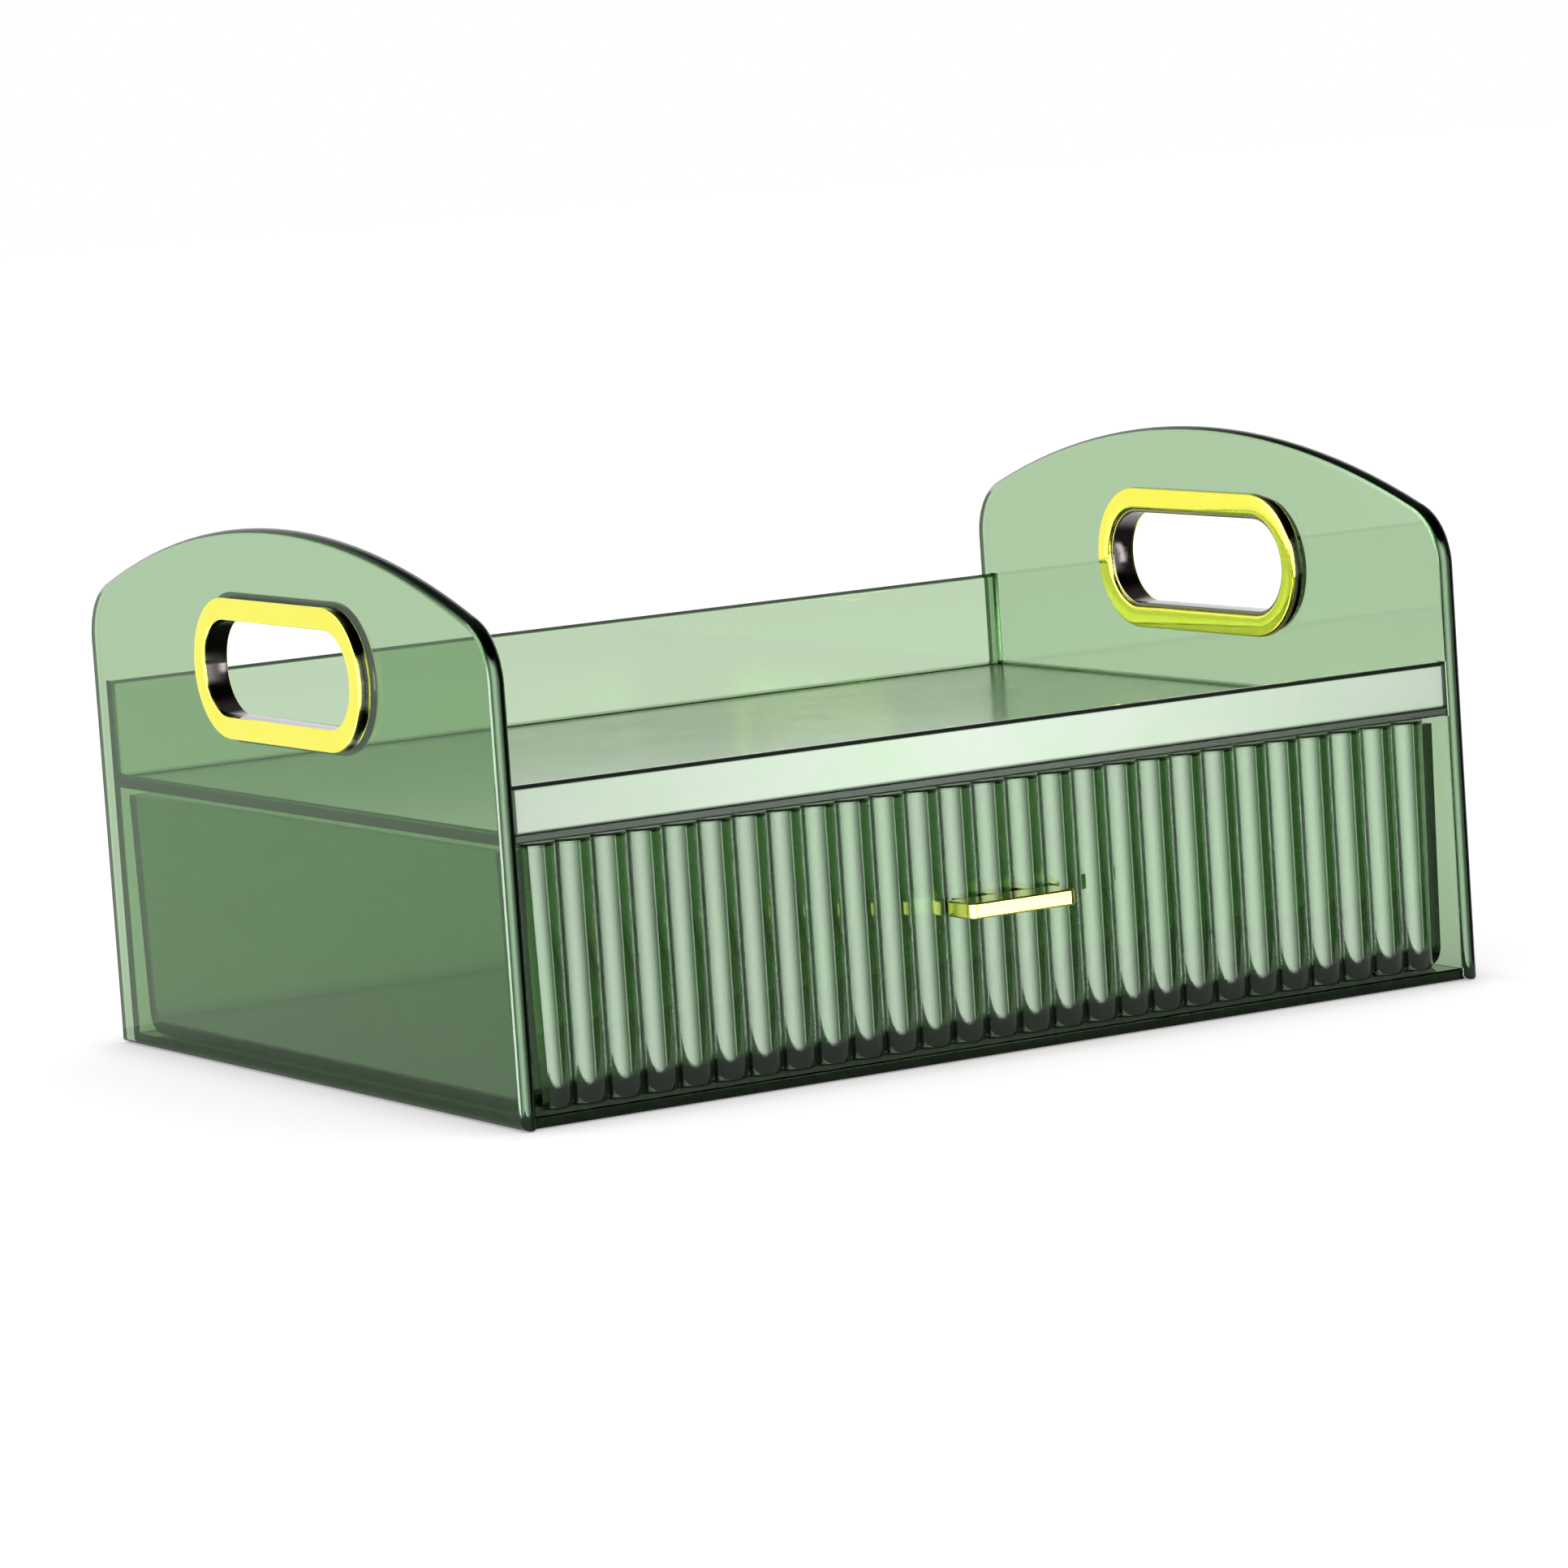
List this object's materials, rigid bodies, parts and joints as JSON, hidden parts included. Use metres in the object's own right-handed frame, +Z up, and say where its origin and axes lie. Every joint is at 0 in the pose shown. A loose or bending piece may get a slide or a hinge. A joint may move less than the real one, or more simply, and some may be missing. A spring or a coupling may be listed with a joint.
{
  "type": "makeup storage box with drawer",
  "caption": "See-through plastic makeup storage box: an open tray over a fluted drawer, between arched end panels with gilt-trimmed hand holes.",
  "frame": {"origin": "on the resting face, midway between the end panels and midway along their depth", "axes": "+X to the right along the front, +Y from the drawer's front to the back wall, +Z up"},
  "size_m": [0.3096, 0.2509, 0.153],
  "materials": {
    "green_plastic": "clear, tinted sage green",
    "drawer_plastic": "clear, tinted sage green",
    "gilt_trim": "electroplated gilt on moulded plastic",
    "gilt_handle": "polished gilt",
    "screw_steel": "zinc plated"
  },
  "bodies": {
    "case": {"left_end_panel": "green_plastic", "right_end_panel": "green_plastic", "base_plate": "green_plastic", "back_wall": "green_plastic", "tray_floor": "green_plastic", "front_rail": "green_plastic", "left_handle_bezel": "gilt_trim", "left_handle_ring": "gilt_trim", "right_handle_bezel": "gilt_trim", "right_handle_ring": "gilt_trim"},
    "drawer": {"drawer_front": "drawer_plastic", "drawer_tub": "drawer_plastic", "drawer_handle": "gilt_handle", "drawer_handle_screws": "screw_steel"}
  },
  "joints": [
    {"name": "drawer_slide", "type": "slide", "parent": "case", "child": "drawer", "axis": [0, -1, 0], "range_m": [0, 0.15]}
  ]
}
